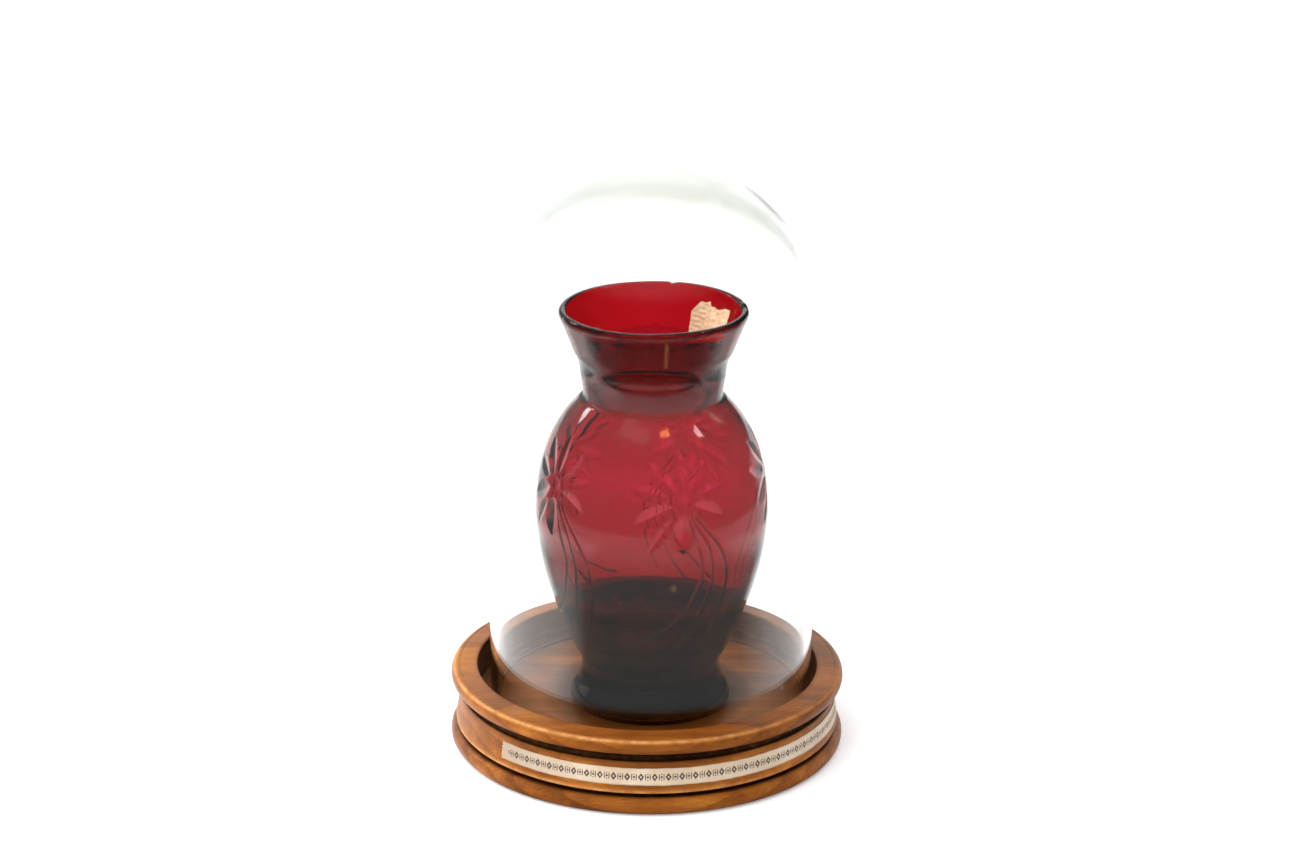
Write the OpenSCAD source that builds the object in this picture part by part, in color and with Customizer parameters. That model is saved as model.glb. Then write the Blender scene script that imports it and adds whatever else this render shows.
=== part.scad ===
// Glass bell (display dome) on a turned wooden base, over a cut glass vase.
// Frame: millimetres, +Z up, origin at the centre of the base's underside.
// The paper label is on the side that faces -Y.

/* [Base] */
// Diameter over the rounded foot
foot_d = 168; // [164:1:176]
// Height of the foot moulding
foot_h = 7.3; // [6:0.1:8]
// Diameter of the flared band at its lower edge
band_low_d = 163.6; // [162:0.2:165]
// Diameter of the flared band at its upper edge
band_top_d = 160; // [158:0.2:161]
// Height of the band's lower edge
band_low_z = 9.8; // [9:0.1:11]
// Height of the band's upper edge
band_top_z = 22.6; // [21.5:0.1:23]
// Height where the rim ring starts
rim_z = 24.4; // [24:0.1:25]
// Diameter over the rounded rim
rim_d = 167.5; // [164:0.5:176]
// Height of the rim's top face
rim_top_z = 33.6; // [33:0.1:36]
// Diameter of the recess
recess_d = 145; // [143:0.5:148]
// Depth of the recess below the rim's top face
recess_depth = 14.1; // [11:0.1:15]

/* [Label] */
// Height of the paper strip
label_h = 7.4; // [5:0.1:9]
// Height of the strip's lower edge above the table
label_z = 12.7; // [11.5:0.1:14]
// Thickness of the paper and its paste
label_t = 0.25; // [0.15:0.05:0.5]
// Angle from the front to the strip's left end
label_left = 47; // [20:1:80]
// Angle from the front to the strip's right end
label_right = 86; // [20:1:90]

/* [Glass bell] */
// Outside diameter of the bell
bell_d = 137; // [130:0.5:138]
// Height of the bell, from its lip to its crown
bell_h = 232.3; // [225:0.5:250]
// Thickness of the bell's wall
bell_wall = 3; // [1.5:0.1:3.4]
// How far the bell stands to the right of the base's centre
bell_shift = 1.5; // [-1.5:0.1:1.5]

/* [Vase] */
// Height of the vase
vase_h = 172.4; // [165:0.2:174]
// Diameter of the foot
vase_foot_d = 67.6; // [60:0.2:72]
// Diameter of the waist above the foot
vase_waist_d = 58.2; // [54:0.2:60]
// Greatest diameter of the body
vase_body_d = 97.6; // [90:0.2:100]
// Diameter of the neck, where it meets the shoulder
vase_neck_d = 57.6; // [54:0.2:60]
// Diameter over the lip
vase_mouth_d = 79; // [74:0.2:80]
// Thickness of the wall at the neck
vase_wall = 3; // [2:0.1:3.5]
// Thickness of the wall of the body
body_wall = 2.1; // [1.6:0.1:3.5]
// Thickness of the solid glass in the foot
vase_floor = 21; // [16:0.1:24]
// How far the vase stands to the right of the base's centre
vase_x = 1.4; // [-3:0.1:3]
// How far the vase stands behind the base's centre
vase_y = -3; // [-4:0.1:4]

/* [Tape] */
// Thickness of the folded tape
tape_t = 0.35; // [0.2:0.05:0.6]
// Height of the tape's lower edge above the vase's foot
tape_z = 146; // [140:1:150]

/* [Hidden] */
$fn = 96;

floor_z = rim_top_z - recess_depth;
recess_r = recess_d / 2;

// Mouldings of the base
foot_bead = foot_h / 2;
low_neck_r = 79.4;
top_neck_r = 77.6;
arris = 0.5;
rim_bead = 3.35;
rim_crease = 0.5;
rim_step = 1.1;
edge_round = 0.8;

// Bell
bell_r = bell_d / 2;
bell_crown_z = floor_z + bell_h - bell_r;
lip_round = 1.7;

// Vase: heights above its own foot
waist_z = 14.5;
belly_z = 88;
crease_z = 134;
lip_r = 1.6;
foot_ring = 4.8;
foot_hollow = 1.2;
foot_round = 1.2;
curve_steps = 6;

// Gap that keeps the tape off the glass
tape_gap = 0.12;

// One span of a Catmull-Rom curve, from b to c
function span(a, b, c, d, t) =
    0.5 * ((2 * b) + (c - a) * t + (2 * a - 5 * b + 4 * c - d) * t * t
           + (3 * b - a - 3 * c + d) * t * t * t);

// A smooth curve through all the points
function smooth(pts) =
    let (n = len(pts))
    concat([for (i = [0 : n - 2], s = [0 : curve_steps - 1])
                span(pts[max(i - 1, 0)], pts[i], pts[i + 1], pts[min(i + 2, n - 1)], s / curve_steps)],
           [pts[n - 1]]);

// Points on an arc, from angle a to angle b
function arc(centre, r, a, b, n = 8) =
    [for (i = [0 : n]) centre + r * [cos(a + (b - a) * i / n), sin(a + (b - a) * i / n)]];

function reversed(pts) = [for (i = [len(pts) - 1 : -1 : 0]) pts[i]];

// Share of the way from r1 to r2
function mix(r1, r2, share) = r1 + (r2 - r1) * share;

// Outside of the vase from the waist to the shoulder crease
body_pts = let (w = vase_waist_d / 2, b = vase_body_d / 2, n = vase_neck_d / 2)
    [[w, waist_z], [mix(w, b, 0.36), 33], [mix(w, b, 0.66), 48], [mix(w, b, 0.9), 66],
     [b, belly_z], [mix(w, b, 0.88), 106], [mix(w, b, 0.6), 120], [n + 1.2, crease_z]];

// Outside of the neck, from the crease to the lip
neck_pts = let (n = vase_neck_d / 2, m = vase_mouth_d / 2 - lip_r * 0.3)
    [[n, crease_z + 0.4], [mix(n, m, 0.12), crease_z + 10], [mix(n, m, 0.4), crease_z + 20],
     [m, vase_h - 2 * lip_r]];

// Inside of the vase, from the mouth to its rounded bottom; the wall thickens towards the foot
inner_pts = let (w = vase_waist_d / 2, b = vase_body_d / 2, n = vase_neck_d / 2, m = vase_mouth_d / 2)
    [[m - vase_wall, vase_h - lip_r], [mix(n, m, 0.42) - vase_wall, crease_z + 21],
     [n - vase_wall + 0.4, crease_z + 9], [n - vase_wall + 0.8, crease_z + 0.5],
     [mix(w, b, 0.23) - 1.2 * body_wall, 129.5], [mix(w, b, 0.66) - 1.2 * body_wall, 118],
     [mix(w, b, 0.88) - 1.05 * body_wall, 106], [b - body_wall, belly_z],
     [mix(w, b, 0.9) - 1.5 * body_wall, 66], [mix(w, b, 0.66) - 2.05 * body_wall, 48],
     [mix(w, b, 0.36) - 3.4 * body_wall, vase_floor + 11], [w * 0.79, vase_floor + 5.3],
     [w * 0.5, vase_floor + 1.8], [0.5, vase_floor]];

// Points of the inside wall that lie behind the tape
function wall_between(z1, z2) = [for (p = smooth(inner_pts)) if (p[1] >= z1 && p[1] <= z2) p];

module at_vase() {
    translate([vase_x, vase_y, floor_z]) children();
}

// Bottom board, with a half-round edge that rests on the table
module base_foot() {
    color("saddlebrown") rotate_extrude() {
        square([foot_d / 2 - foot_bead, foot_h]);
        translate([foot_d / 2 - foot_bead, foot_bead]) circle(foot_bead);
    }
}

// Flared drum between the two grooves, hollowed by the recess
module base_band() {
    low_r = band_low_d / 2;
    top_r = band_top_d / 2;
    color("sienna") rotate_extrude() polygon([
        [0, foot_h], [low_neck_r, foot_h], [low_neck_r, band_low_z - arris],
        [low_r - arris, band_low_z - arris], [low_r, band_low_z],
        [top_r, band_top_z - arris], [top_r - arris, band_top_z],
        [top_neck_r, band_top_z], [top_neck_r, rim_z],
        [recess_r, rim_z], [recess_r, floor_z], [0, floor_z]]);
}

// Ring round the recess, with a half-round outer edge
module base_rim() {
    bead_r = rim_d / 2 - rim_bead;
    bead_z = rim_top_z - rim_crease - rim_bead;
    color("peru") rotate_extrude() {
        polygon([
            [recess_r, rim_z], [top_neck_r, rim_z], [top_neck_r, bead_z - rim_bead - rim_step],
            [bead_r - rim_step, bead_z - rim_bead - rim_step], [bead_r - rim_step, bead_z - rim_bead],
            [bead_r, bead_z - rim_bead], [bead_r, bead_z + rim_bead],
            [recess_r + edge_round, rim_top_z], [recess_r, rim_top_z - edge_round]]);
        translate([recess_r + edge_round, rim_top_z - edge_round]) circle(edge_round);
        translate([bead_r, bead_z]) circle(rim_bead);
    }
}

// Radius of the band's flared face at a height
function band_r(z) =
    mix(band_low_d / 2, band_top_d / 2, (z - band_low_z) / (band_top_z - arris - band_low_z));

// Paper strip pasted round the band
module paper_label() {
    z2 = label_z + label_h;
    color("antiquewhite") rotate([0, 0, -90 - label_left])
        rotate_extrude(angle = label_left + label_right) polygon([
            [band_r(label_z), label_z], [band_r(label_z) + label_t, label_z],
            [band_r(z2) + label_t, z2], [band_r(z2), z2]]);
}

// Bell: a round crown on a straight wall, open below, with a rounded lip
module glass_bell() {
    inner_r = bell_r - bell_wall;
    wall_h = bell_crown_z - floor_z - lip_round;
    color("lightcyan", 0.3) translate([bell_shift, 0, 0]) rotate_extrude() {
        translate([0, bell_crown_z]) intersection() {
            difference() {
                circle(bell_r);
                circle(inner_r);
            }
            square(bell_d);
        }
        translate([inner_r, floor_z + lip_round]) square([bell_wall, wall_h]);
        translate([bell_r - lip_round, floor_z + lip_round]) circle(lip_round);
    }
}

// Blown vase: solid foot, waist, round body, sharp shoulder crease and flared neck
module vase() {
    foot_r = vase_foot_d / 2;
    lip_z = vase_h - lip_r;
    neck_top = neck_pts[len(neck_pts) - 1][0];
    color("firebrick", 0.6) at_vase() rotate_extrude() polygon(concat(
        [[0, foot_hollow], [foot_r - foot_ring - foot_hollow, foot_hollow],
         [foot_r - foot_ring, 0], [foot_r - foot_round, 0]],
        arc([foot_r - foot_round, foot_round], foot_round, -90, 0, 4),
        smooth([[foot_r, 3.2], [foot_r - 0.8, 6], [mix(foot_r, vase_waist_d / 2, 0.75), 10],
                body_pts[0]]),
        [for (i = [1 : len(smooth(body_pts)) - 1]) smooth(body_pts)[i]],
        smooth(neck_pts),
        arc([neck_top - lip_r * 0.7, lip_z], lip_r, 0, 180),
        [for (p = smooth(inner_pts)) if (p[1] < lip_z - 0.5) p],
        [[0, vase_floor]]));
}

// One strip of tape on the inside of the mouth, from angle a1 to a2
module tape_strip(a1, a2, z1, z2, gap) {
    wall = wall_between(z1, z2);
    outer = [for (p = wall) p - [gap, 0]];
    inner = [for (p = wall) p - [gap + tape_t, 0]];
    color("navajowhite") at_vase() rotate([0, 0, a1])
        rotate_extrude(angle = a2 - a1) polygon(concat(outer, reversed(inner)));
}

module tape_left() {
    tape_strip(43, 60, tape_z, vase_h - 4.5, tape_gap);
}

module tape_right() {
    tape_strip(19, 49, tape_z + 1, vase_h - 4, 2 * tape_gap + tape_t);
}

base_foot();
base_band();
base_rim();
paper_label();
glass_bell();
vase();
tape_left();
tape_right();
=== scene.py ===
"""Looks of a glass bell on a turned wooden base, over a cut ruby glass vase."""
import math

import bpy
import numpy as np
from mathutils import Matrix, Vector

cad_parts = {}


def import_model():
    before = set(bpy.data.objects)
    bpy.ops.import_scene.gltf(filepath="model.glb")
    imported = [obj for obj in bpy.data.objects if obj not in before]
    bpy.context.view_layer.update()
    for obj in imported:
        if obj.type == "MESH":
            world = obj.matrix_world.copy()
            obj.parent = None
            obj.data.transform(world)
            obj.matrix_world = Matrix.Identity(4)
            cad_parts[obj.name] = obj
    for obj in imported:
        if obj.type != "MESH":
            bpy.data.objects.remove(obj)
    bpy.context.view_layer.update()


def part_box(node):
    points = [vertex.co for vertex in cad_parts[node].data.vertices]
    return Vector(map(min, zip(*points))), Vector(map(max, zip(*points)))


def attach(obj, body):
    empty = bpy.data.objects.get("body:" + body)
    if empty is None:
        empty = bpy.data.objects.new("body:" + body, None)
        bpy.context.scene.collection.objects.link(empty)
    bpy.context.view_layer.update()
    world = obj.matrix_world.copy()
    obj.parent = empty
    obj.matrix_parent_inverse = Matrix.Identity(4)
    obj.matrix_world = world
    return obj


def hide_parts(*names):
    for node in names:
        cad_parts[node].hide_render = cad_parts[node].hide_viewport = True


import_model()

MM = 0.001
TURN = 2 * math.pi
LABEL_SEED = 11


# ---------------------------------------------------------------- places from the CAD model
def box_mm(node):
    low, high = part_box(node)
    return np.array(low) / MM, np.array(high) / MM


foot_high = box_mm("base_foot")[1]
rim_low, rim_high = box_mm("base_rim")
label_low, label_high = box_mm("paper_label")
bell_low, bell_high = box_mm("glass_bell")
vase_low, vase_high = box_mm("vase")

FLOOR_Z = bell_low[2]
RIM_TOP = rim_high[2]
VASE_AT = (vase_low + vase_high) / 2
VASE_Z = vase_low[2]
VASE_H = vase_high[2] - vase_low[2]
BELL_AT = (bell_low + bell_high) / 2
RECESS_R = 72.5
# The label's ends in degrees round the band, its mean radius, and its printed length in mm
LABEL_START, LABEL_END = -47.0, 86.0
LABEL_MEAN_R = 81.0
PRINT_START, PRINT_END = 3.4, 186.4
# Points round the turned wood, the bell and the vase
WOOD_SEGMENTS = 360
BELL_SEGMENTS = 240
VASE_SEGMENTS = 1008


# ---------------------------------------------------------------- curves and meshes
def smooth_curve(points, steps=10):
    """Catmull-Rom curve through the points."""
    p = np.array(points, float)
    n = len(p)
    t = (np.arange(steps) / steps)[:, None]
    out = []
    for i in range(n - 1):
        a, b, c, d = p[max(i - 1, 0)], p[i], p[i + 1], p[min(i + 2, n - 1)]
        out.append(0.5 * (2 * b + (c - a) * t + (2 * a - 5 * b + 4 * c - d) * t ** 2
                          + (3 * b - a - 3 * c + d) * t ** 3))
    return np.vstack(out + [p[-1:]])


def arc(centre, radius, start, end, n=10):
    a = np.radians(np.linspace(start, end, n + 1))
    return np.stack([centre[0] + radius * np.cos(a), centre[1] + radius * np.sin(a)], 1)


def resample(path, step):
    """The path with points a step apart, where step is a number or depends on height."""
    seg = np.hypot(*np.diff(path, axis=0).T)
    s = np.concatenate([[0], np.cumsum(seg)])
    marks = [0.0]
    while marks[-1] < s[-1]:
        height = np.interp(marks[-1], s, path[:, 1])
        marks.append(marks[-1] + (step(height) if callable(step) else step))
    marks = np.array(marks) * s[-1] / marks[-1]
    return np.stack([np.interp(marks, s, path[:, k]) for k in (0, 1)], 1)


def fill_gaps(path, longest):
    """The path with points added on its long straight spans."""
    out = [path[0]]
    for a, b in zip(path[:-1], path[1:]):
        n = max(1, int(math.ceil(np.hypot(*(b - a)) / longest)))
        out += [a + (b - a) * (i + 1) / n for i in range(n)]
    return np.array(out)


def normals_of(path):
    """Outward normals of a profile that runs up its outer side."""
    d = np.gradient(path, axis=0)
    d /= np.hypot(*d.T)[:, None] + 1e-12
    return np.stack([d[:, 1], -d[:, 0]], 1)


def mesh_from(name, verts_mm, quads, tris=None):
    """A smooth shaded mesh object from arrays of points in mm and faces."""
    tris = np.zeros((0, 3), int) if tris is None else tris
    mesh = bpy.data.meshes.new(name)
    mesh.vertices.add(len(verts_mm))
    mesh.vertices.foreach_set("co", (np.asarray(verts_mm, float) * MM).astype(np.float32).ravel())
    loops = np.concatenate([quads.ravel(), tris.ravel()]).astype(np.int32)
    totals = np.concatenate([np.full(len(quads), 4), np.full(len(tris), 3)]).astype(np.int32)
    starts = np.concatenate([[0], np.cumsum(totals)[:-1]]).astype(np.int32)
    mesh.loops.add(len(loops))
    mesh.loops.foreach_set("vertex_index", loops)
    mesh.polygons.add(len(totals))
    mesh.polygons.foreach_set("loop_start", starts)
    mesh.update(calc_edges=True)
    mesh.validate()
    mesh.polygons.foreach_set("use_smooth", np.full(len(mesh.polygons), True))
    obj = bpy.data.objects.new(name, mesh)
    bpy.context.scene.collection.objects.link(obj)
    return obj


def rings(name, rows, first=None, last=None):
    """A closed surface from rings of points; first and last close its two ends at the axis."""
    n, m = rows.shape[:2]
    j = np.arange(m)
    k = (j + 1) % m
    i = (np.arange(n - 1) * m)[:, None]
    quads = np.stack([i + j, i + k, i + m + k, i + m + j], -1).reshape(-1, 4)
    verts = rows.reshape(-1, 3)
    if first is None:
        tail = (n - 1) * m
        quads = np.vstack([quads, np.stack([tail + j, tail + k, k, j], -1)])
        return mesh_from(name, verts, quads)
    verts = np.vstack([verts, [first], [last]])
    tail = (n - 1) * m
    tris = np.vstack([np.stack([np.full(m, n * m), k, j], -1),
                      np.stack([tail + j, tail + k, np.full(m, n * m + 1)], -1)])
    return mesh_from(name, verts, quads, tris)


def angles(segments):
    """Angles of the points of a turned piece, in radians."""
    return np.arange(segments) * TURN / segments


def outwards(a):
    """Flat unit vectors away from the axis at each angle; angle 0 is -Y."""
    return np.stack([np.sin(a), -np.cos(a)], -1)


def spin(path, segments):
    """Rows of points made by turning an (r, z) path about the Z axis."""
    a = angles(segments)
    r, z = path[:, 0][:, None], path[:, 1][:, None]
    return np.stack([r * np.sin(a), -r * np.cos(a), np.broadcast_to(z, (len(path), segments))], -1)


def move_rows(rows, offset):
    """Moves rows of points by an offset in mm."""
    for k in range(3):
        rows[..., k] += offset[k]


def grid_quads(n_i, n_j):
    """Faces of a sheet of n_i by n_j points, that is numbered along j first."""
    i, j = np.meshgrid(np.arange(n_i - 1), np.arange(n_j - 1), indexing="ij")
    base = (i * n_j + j).ravel()
    return np.stack([base, base + 1, base + n_j + 1, base + n_j], -1)


def point_value(obj, name, values):
    """A number at each point of the mesh, for the material to read."""
    layer = obj.data.attributes.new(name, "FLOAT", "POINT")
    layer.data.foreach_set("value", np.asarray(values, np.float32).ravel())


def finish_piece(obj, material, body, slot, *nodes):
    obj.data.materials.append(material)
    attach(obj, body)
    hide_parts(*nodes)
    return obj


# ---------------------------------------------------------------- material nodes
class Nodes:
    """Short calls for building a node tree."""

    def __init__(self, tree):
        self.tree = tree
        tree.nodes.clear()

    def add(self, kind, inputs=(), **settings):
        n = self.tree.nodes.new(kind)
        for k, v in settings.items():
            setattr(n, k, v)
        for k, v in dict(inputs).items():
            self.put(n.inputs[k], v)
        return n

    def put(self, socket, value):
        if isinstance(value, bpy.types.NodeSocket):
            self.tree.links.new(value, socket)
        else:
            socket.default_value = value

    def math(self, operation, *values, clamp=False):
        n = self.add("ShaderNodeMath", operation=operation, use_clamp=clamp)
        for i, v in enumerate(values):
            self.put(n.inputs[i], v)
        return n.outputs[0]

    def vector(self, operation, a, b=None):
        n = self.add("ShaderNodeVectorMath", operation=operation)
        self.put(n.inputs[0], a)
        if b is not None:
            self.put(n.inputs[1], b)
        as_value = operation in ("LENGTH", "DISTANCE", "DOT_PRODUCT")
        return n.outputs["Value" if as_value else "Vector"]

    def product(self, a, b):
        return self.math("MULTIPLY", a, b)

    def sum(self, a, b):
        return self.math("ADD", a, b)

    def less(self, a, b):
        return self.math("SUBTRACT", a, b)

    def most(self, *values):
        """The largest of two or more values."""
        top = values[0]
        for value in values[1:]:
            top = self.math("MAXIMUM", top, value)
        return top

    def rest_of(self, share):
        """What a share leaves of 1."""
        return self.math("SUBTRACT", 1.0, share)

    def size(self, value):
        return self.math("ABSOLUTE", value)

    def length(self, a, b):
        """Length of the flat vector (a, b)."""
        return self.math("SQRT", self.sum(self.product(a, a), self.product(b, b)))

    def degrees(self, operation, *values):
        """Angle in degrees from an inverse function."""
        return self.product(self.math(operation, *values), 180 / math.pi)

    def grey(self, value):
        return self.add("ShaderNodeCombineColor", {0: value, 1: value, 2: value}).outputs[0]

    def split(self, vector):
        n = self.add("ShaderNodeSeparateXYZ", {"Vector": vector})
        return n.outputs[0], n.outputs[1], n.outputs[2]

    def noise(self, vector, scale, detail=4.0, rough=0.55):
        n = self.add("ShaderNodeTexNoise", {"Vector": vector, "Scale": scale, "Detail": detail,
                                            "Roughness": rough})
        return n.outputs["Fac"]

    def span(self, value, low, high, to_low=0.0, to_high=1.0, smooth=True):
        n = self.add("ShaderNodeMapRange", {"Value": value, "From Min": low, "From Max": high,
                                            "To Min": to_low, "To Max": to_high})
        n.interpolation_type = "SMOOTHSTEP" if smooth else "LINEAR"
        return n.outputs[0]

    def mix(self, factor, a, b, blend="MIX"):
        n = self.add("ShaderNodeMix", data_type="RGBA", blend_type=blend)
        self.put(n.inputs[0], factor)
        self.put(n.inputs[6], a)
        self.put(n.inputs[7], b)
        return n.outputs[2]

    def ramp(self, factor, stops):
        n = self.add("ShaderNodeValToRGB", {"Fac": factor})
        e = n.color_ramp.elements
        while len(e) < len(stops):
            e.new(0.5)
        for el, (at, colour) in zip(e, stops):
            el.position = at
            el.color = (*colour, 1)
        return n.outputs[0]

    def bump(self, height, strength, distance):
        n = self.add("ShaderNodeBump", {"Height": height, "Strength": strength, "Distance": distance})
        return n.outputs[0]


def material(name):
    m = bpy.data.materials.new(name)
    m.use_nodes = True
    n = Nodes(m.node_tree)
    out = n.add("ShaderNodeOutputMaterial")
    place = n.add("ShaderNodeTexCoord")
    return m, n, out, place


# Growth rings in the wood, per metre across them
RINGS_PER_METRE = 165.0


def wood(name, pith_y, pith_z, shift, painted_light_side=0.0):
    """Varnished turned hardwood with the grain along X, with painted light that makes it paler towards -X,
    the side the light comes from, by the last argument.
    """
    m, n, out, place = material(name)
    spot = place.outputs["Object"]
    at = n.vector("ADD", spot, shift)
    _, y, z = n.split(at)
    px, _, pz = n.split(spot)

    def grain(squeeze, scale, detail, rough=0.55):
        """Noise that is drawn out along X by a squeeze of less than 1."""
        return n.noise(n.vector("MULTIPLY", at, (squeeze, 1.0, 1.0)), scale, detail, rough)

    radius = n.length(n.less(y, pith_y), n.less(z, pith_z))
    warped = n.sum(radius, n.product(grain(0.12, 14.0, 3.0), 0.022))
    ring = n.math("FRACT", n.product(warped, RINGS_PER_METRE))
    growth = n.product(n.span(ring, 0.25, 0.95), n.span(ring, 0.95, 1.0, 1.0, 0.0))
    fibre = grain(0.03, 900.0, 5.0, 0.65)
    streak = grain(0.045, 190.0, 4.0, 0.6)
    blotch = n.noise(at, 28.0, 3.0, 0.5)
    pore = n.span(grain(0.05, 2300.0, 2.0, 0.5), 0.63, 0.72)
    tone = n.product(n.less(fibre, 0.5), 0.45)
    for figure, weight in ((streak, 0.5), (blotch, 0.9)):
        tone = n.sum(tone, n.product(n.less(figure, 0.5), weight))
    tone = n.less(tone, n.product(growth, 0.16))
    # painted light: paler towards -X, where the light falls from the upper left
    tone = n.sum(tone, n.span(px, -0.08, 0.08, 0.60 + painted_light_side, 0.60 - painted_light_side))
    colour = n.ramp(tone, [(0.0, (0.055, 0.013, 0.002)), (0.35, (0.155, 0.041, 0.005)),
                           (0.62, (0.275, 0.080, 0.009)), (1.0, (0.50, 0.180, 0.024))])
    colour = n.mix(n.product(pore, 0.45), colour, (0.050, 0.016, 0.006, 1))
    # The shade attribute paints shade (up to 1) in grooves, under edges and in the recess, and wear with a
    # painted highlight on edges (down to -1); the noise makes both patchy
    shade = n.add("ShaderNodeAttribute", attribute_name="shade").outputs["Fac"]
    patchiness = n.noise(spot, 260.0, 3.0)
    # painted shade: near black where the shade attribute is high
    dark = n.math("MULTIPLY", n.span(shade, 0.0, 1.0, smooth=False),
                  n.span(patchiness, 0.15, 0.6, 0.75, 1.0), clamp=True)
    colour = n.mix(dark, colour, (0.012, 0.004, 0.002, 1))
    # worn edges, lighter partly from wear and partly as a painted highlight
    worn = n.product(n.span(shade, 0.0, -1.0), n.span(patchiness, 0.3, 0.7, 0.35, 0.85))
    colour = n.mix(worn, colour, (0.80, 0.38, 0.13, 1))
    off_axis = n.vector("LENGTH", n.vector("MULTIPLY", spot, (1.0, 1.0, 0.0)))
    lathe = n.add("ShaderNodeTexNoise", {"W": n.sum(off_axis, n.product(pz, 0.8)),
                                         "Scale": 900.0, "Detail": 3.0},
                  noise_dimensions="1D").outputs["Fac"]
    height = n.sum(n.product(lathe, 0.5), n.product(fibre, 0.4))
    height = n.less(height, n.product(pore, 0.5))
    shader = n.add("ShaderNodeBsdfPrincipled", {
        "Base Color": colour,
        "Roughness": n.sum(n.span(blotch, 0.3, 0.7, 0.34, 0.46), n.product(dark, 0.2)),
        "IOR": 1.5, "Specular IOR Level": 0.26, "Specular Tint": (1.0, 0.70, 0.38, 1),
        "Coat Weight": 0.06, "Coat Roughness": 0.16, "Coat Tint": (1.0, 0.84, 0.60, 1),
        "Normal": n.bump(height, 0.35, 0.00012),
        "Coat Normal": n.bump(lathe, 0.15, 0.00005)})
    n.put(out.inputs["Surface"], shader.outputs[0])
    return m


def paper():
    """Old cream label paper with a printed band of small ornaments, worn in places."""
    m, n, out, place = material("label_paper")
    spot = place.outputs["Object"]
    u, v, _ = n.split(n.add("ShaderNodeUVMap", uv_map="strip").outputs[0])
    cell, middle = 5.6, 3.7
    x = n.size(n.less(n.product(n.math("FRACT", n.math("DIVIDE", u, cell)), cell), cell / 2))
    y = n.size(n.less(v, middle))

    def lozenge(half_x, half_y):
        edge = n.sum(n.math("DIVIDE", x, half_x), n.math("DIVIDE", y, half_y))
        return n.span(edge, 1.08, 0.92)

    def disc(cx, cy, r):
        d = n.length(n.less(x, cx), n.less(y, cy))
        return n.span(d, r + 0.06, r - 0.06)

    def bar(cx, half_w, half_h):
        dx = n.size(n.less(x, cx))
        return n.product(n.span(dx, half_w + 0.05, half_w - 0.05),
                         n.span(y, half_h + 0.08, half_h - 0.08))

    ring = n.less(lozenge(1.3, 1.75), lozenge(0.45, 0.6))
    dots = n.most(disc(cell / 2, 0.0, 0.5), disc(cell / 2, 1.2, 0.28))
    ink = n.most(ring, bar(1.85, 0.2, 1.3), dots)
    inside = n.product(n.span(u, PRINT_START, PRINT_START + 0.1), n.span(u, PRINT_END + 0.1, PRINT_END))
    wear = n.noise(spot, 1500.0, 4.0, 0.6)
    ink = n.product(n.product(ink, inside), n.span(wear, 0.28, 0.45, 0.6, 0.97))
    fibres = n.noise(n.vector("MULTIPLY", spot, (1.0, 1.0, 1.6)), 2600.0, 4.0, 0.7)
    stain = n.noise(spot, 85.0, 4.0, 0.6)
    cream = n.mix(n.span(stain, 0.35, 0.7), (0.58, 0.44, 0.31, 1), (0.68, 0.55, 0.41, 1))
    cream = n.mix(n.span(fibres, 0.35, 0.75, 0.0, 0.25), cream, (0.50, 0.36, 0.24, 1))
    aged = n.most(n.span(u, 48.0, 0.0), n.span(v, 0.8, 0.0, 0.0, 0.6))
    cream = n.mix(n.product(aged, 0.9), cream, (0.40, 0.29, 0.20, 1))
    colour = n.mix(ink, cream, (0.045, 0.035, 0.03, 1))
    shader = n.add("ShaderNodeBsdfPrincipled", {
        "Base Color": colour, "Roughness": n.span(fibres, 0.3, 0.7, 0.62, 0.8), "IOR": 1.45,
        "Sheen Weight": 0.15, "Sheen Roughness": 0.6,
        "Normal": n.bump(fibres, 0.4, 0.00008)})
    n.put(out.inputs["Surface"], shader.outputs[0])
    return m


def glass(name, stain, tint, density, smear, smear_scale, shadow):
    """Faintly uneven glass, coloured in its depth and its stained skin, with a tinted shadow."""
    m, n, out, place = material(name)
    skin = n.add("ShaderNodeAttribute", attribute_name="skin").outputs["Fac"]
    surface = n.ramp(skin, stain)
    waves = n.noise(place.outputs["Object"], smear_scale, 2.0, 0.5)
    dust = n.noise(place.outputs["Object"], 5200.0, 1.0, 0.5)
    specks = n.span(dust, 0.77, 0.80)
    body = n.add("ShaderNodeBsdfPrincipled", {
        "Base Color": n.mix(specks, surface, (0.8, 0.74, 0.70, 1)), "IOR": 1.5,
        "Roughness": 0.0, "Transmission Weight": 1.0, "Normal": n.bump(waves, smear, 0.0004)})
    clear = n.add("ShaderNodeBsdfTransparent", {"Color": (*shadow, 1)})
    path = n.add("ShaderNodeLightPath")
    soft = n.add("ShaderNodeMixShader", {0: path.outputs["Is Diffuse Ray"],
                                         1: body.outputs[0], 2: clear.outputs[0]})
    lit = n.add("ShaderNodeMixShader", {0: path.outputs["Is Shadow Ray"],
                                        1: soft.outputs[0], 2: clear.outputs[0]})
    depth = n.add("ShaderNodeVolumeAbsorption", {"Color": (*tint, 1), "Density": density})
    n.put(out.inputs["Surface"], lit.outputs[0])
    n.put(out.inputs["Volume"], depth.outputs[0])
    return m


# Colour of the glass skin by its depth of stain, from none to a deep dark cut; its pale and dark ends also
# paint light and shade on the cuts, and the clear one paints shade on the bell's crown
CLEAR = [(0.0, (1.0, 1.0, 1.0)), (1.0, (0.84, 0.86, 0.80))]
RUBY = [(0.0, (1.0, 0.80, 0.80)), (0.35, (0.66, 0.045, 0.048)), (0.8, (0.42, 0.045, 0.04)),
        (1.0, (0.04, 0.004, 0.004))]


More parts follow.
